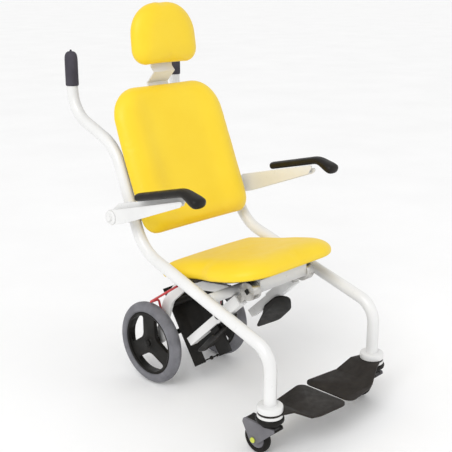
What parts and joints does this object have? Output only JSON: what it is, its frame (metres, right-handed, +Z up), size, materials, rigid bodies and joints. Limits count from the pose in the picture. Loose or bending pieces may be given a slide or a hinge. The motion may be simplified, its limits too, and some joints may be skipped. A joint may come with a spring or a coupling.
{
  "type": "patient transport chair",
  "caption": "Wheeled patient transport chair with bent side tubes, padded seat, back and headrest, flip-up arms, swing-away footplates and folding leg rests.",
  "frame": {"origin": "on the floor, under the middle of the chair's outer box", "axes": "+Z up, the sitter faces -Y, +X to the sitter's left"},
  "size_m": [0.654, 1.0137, 1.2579],
  "materials": {
    "white_powder_coat": "smooth white powder coat on steel",
    "yellow_vinyl": "smooth yellow upholstery vinyl with a slight sheen",
    "black_board": "matt black backing board",
    "black_plastic": "black moulded plastic, satin",
    "grip_rubber": "dark grey rubber grip",
    "arm_pad_foam": "dark brown-black moulded foam, satin skin",
    "grey_tyre": "grey solid rubber tyre",
    "fork_grey": "mid grey moulded plastic",
    "charcoal_plate": "charcoal plate, satin",
    "red_paint": "red painted rod",
    "bare_steel": "bare steel with faint brushing",
    "cap_yellow": "yellow-green plastic cap"
  },
  "bodies": {
    "chair_frame": {"arm_bolt_left": "bare_steel", "arm_bolt_right": "bare_steel", "arm_bracket_left": "white_powder_coat", "arm_bracket_right": "white_powder_coat", "back_cross_tube_lower": "white_powder_coat", "back_cross_tube_upper": "white_powder_coat", "backrest_board": "black_board", "backrest_cushion": "yellow_vinyl", "front_cross_tube": "white_powder_coat", "handle_grip_left": "grip_rubber", "handle_grip_right": "grip_rubber", "headrest_bracket": "white_powder_coat", "headrest_cushion": "yellow_vinyl", "leg_flange_left": "white_powder_coat", "leg_flange_right": "white_powder_coat", "leg_rest_beam": "white_powder_coat", "leg_ring_left": "white_powder_coat", "leg_ring_right": "white_powder_coat", "rear_axle": "white_powder_coat", "rear_cross_tube": "black_plastic", "rear_leg_left": "white_powder_coat", "rear_leg_right": "white_powder_coat", "seat_board": "black_board", "seat_cushion": "yellow_vinyl", "side_tube_left": "white_powder_coat", "side_tube_right": "white_powder_coat", "tray_rod": "bare_steel", "under_seat_tray": "black_plastic"},
    "rear_wheel_left": {"rear_tyre_left": "grey_tyre", "rear_rim_left": "black_plastic"},
    "caster_left": {"caster_head_left": "black_plastic", "caster_fork_left": "fork_grey", "caster_axle_left": "cap_yellow"},
    "caster_wheel_left": {"caster_tyre_left": "grey_tyre", "caster_hub_left": "black_plastic"},
    "footrest_left": {"footplate_left": "charcoal_plate"},
    "arm_left": {"arm_channel_left": "white_powder_coat", "arm_pad_left": "arm_pad_foam"},
    "leg_rest_left": {"leg_rest_hub_left": "bare_steel", "leg_rest_sleeve_left": "white_powder_coat"},
    "leg_rest_slide_left": {"leg_rest_bar_left": "white_powder_coat", "calf_pad_left": "black_plastic"},
    "clamp_knob_left": {"leg_rest_knob_left": "black_plastic"},
    "brake_left": {"brake_lever_left": "red_paint"},
    "rear_wheel_right": {"rear_tyre_right": "grey_tyre", "rear_rim_right": "black_plastic"},
    "caster_right": {"caster_head_right": "black_plastic", "caster_fork_right": "fork_grey", "caster_axle_right": "cap_yellow"},
    "caster_wheel_right": {"caster_tyre_right": "grey_tyre", "caster_hub_right": "black_plastic"},
    "footrest_right": {"footplate_right": "charcoal_plate"},
    "arm_right": {"arm_channel_right": "white_powder_coat", "arm_pad_right": "arm_pad_foam"},
    "leg_rest_right": {"leg_rest_hub_right": "bare_steel", "leg_rest_sleeve_right": "white_powder_coat"},
    "leg_rest_slide_right": {"leg_rest_bar_right": "white_powder_coat", "calf_pad_right": "black_plastic"},
    "clamp_knob_right": {"leg_rest_knob_right": "black_plastic"},
    "brake_right": {"brake_lever_right": "red_paint"}
  },
  "joints": [
    {"name": "rear_wheel_left_spin", "type": "hinge", "parent": "chair_frame", "child": "rear_wheel_left", "pos_m": [0.159, 0.2058, 0.142], "axis": [1, 0, 0], "continuous": true},
    {"name": "caster_left_swivel", "type": "hinge", "parent": "chair_frame", "child": "caster_left", "pos_m": [0.249, -0.4092, 0.1], "axis": [0, 0, 1], "continuous": true},
    {"name": "caster_wheel_left_spin", "type": "hinge", "parent": "caster_left", "child": "caster_wheel_left", "pos_m": [0.249, -0.3642, 0.045], "axis": [1, 0, 0], "continuous": true},
    {"name": "footplate_left_swing", "type": "hinge", "parent": "chair_frame", "child": "footrest_left", "pos_m": [0.249, -0.4092, 0.145], "axis": [0, 0, 1], "range_deg": [0, 95]},
    {"name": "arm_left_flip", "type": "hinge", "parent": "chair_frame", "child": "arm_left", "pos_m": [0.295, 0.2108, 0.61], "axis": [-1, 0, 0], "range_deg": [0, 100]},
    {"name": "leg_rest_left_raise", "type": "hinge", "parent": "chair_frame", "child": "leg_rest_left", "pos_m": [0.125, -0.2192, 0.43], "axis": [-1, 0, 0], "range_deg": [0, 135]},
    {"name": "leg_rest_left_extend", "type": "slide", "parent": "leg_rest_left", "child": "leg_rest_slide_left", "axis": [0, 0.729, -0.6845], "range_m": [0, 0.056]},
    {"name": "leg_rest_knob_left_turn", "type": "hinge", "parent": "leg_rest_left", "child": "clamp_knob_left", "pos_m": [0.125, -0.10985, 0.32732], "axis": [1, 0, 0], "range_deg": [0, 360]},
    {"name": "brake_left_press", "type": "hinge", "parent": "chair_frame", "child": "brake_left", "pos_m": [0.133, 0.1678, 0.215], "axis": [1, 0, 0], "range_deg": [0, 6]},
    {"name": "rear_wheel_right_spin", "type": "hinge", "parent": "chair_frame", "child": "rear_wheel_right", "pos_m": [-0.159, 0.2058, 0.142], "axis": [1, 0, 0], "continuous": true},
    {"name": "caster_right_swivel", "type": "hinge", "parent": "chair_frame", "child": "caster_right", "pos_m": [-0.249, -0.4092, 0.1], "axis": [0, 0, 1], "continuous": true},
    {"name": "caster_wheel_right_spin", "type": "hinge", "parent": "caster_right", "child": "caster_wheel_right", "pos_m": [-0.249, -0.3642, 0.045], "axis": [1, 0, 0], "continuous": true},
    {"name": "footplate_right_swing", "type": "hinge", "parent": "chair_frame", "child": "footrest_right", "pos_m": [-0.249, -0.4092, 0.145], "axis": [0, 0, -1], "range_deg": [0, 95]},
    {"name": "arm_right_flip", "type": "hinge", "parent": "chair_frame", "child": "arm_right", "pos_m": [-0.295, 0.2108, 0.61], "axis": [-1, 0, 0], "range_deg": [0, 100]},
    {"name": "leg_rest_right_raise", "type": "hinge", "parent": "chair_frame", "child": "leg_rest_right", "pos_m": [-0.125, -0.2192, 0.43], "axis": [-1, 0, 0], "range_deg": [0, 60]},
    {"name": "leg_rest_right_extend", "type": "slide", "parent": "leg_rest_right", "child": "leg_rest_slide_right", "axis": [0, 0.729, -0.6845], "range_m": [-0.016, 0]},
    {"name": "leg_rest_knob_right_turn", "type": "hinge", "parent": "leg_rest_right", "child": "clamp_knob_right", "pos_m": [-0.125, -0.10985, 0.32732], "axis": [1, 0, 0], "range_deg": [0, 360]},
    {"name": "brake_right_press", "type": "hinge", "parent": "chair_frame", "child": "brake_right", "pos_m": [-0.133, 0.1678, 0.215], "axis": [1, 0, 0], "range_deg": [0, 6]}
  ]
}
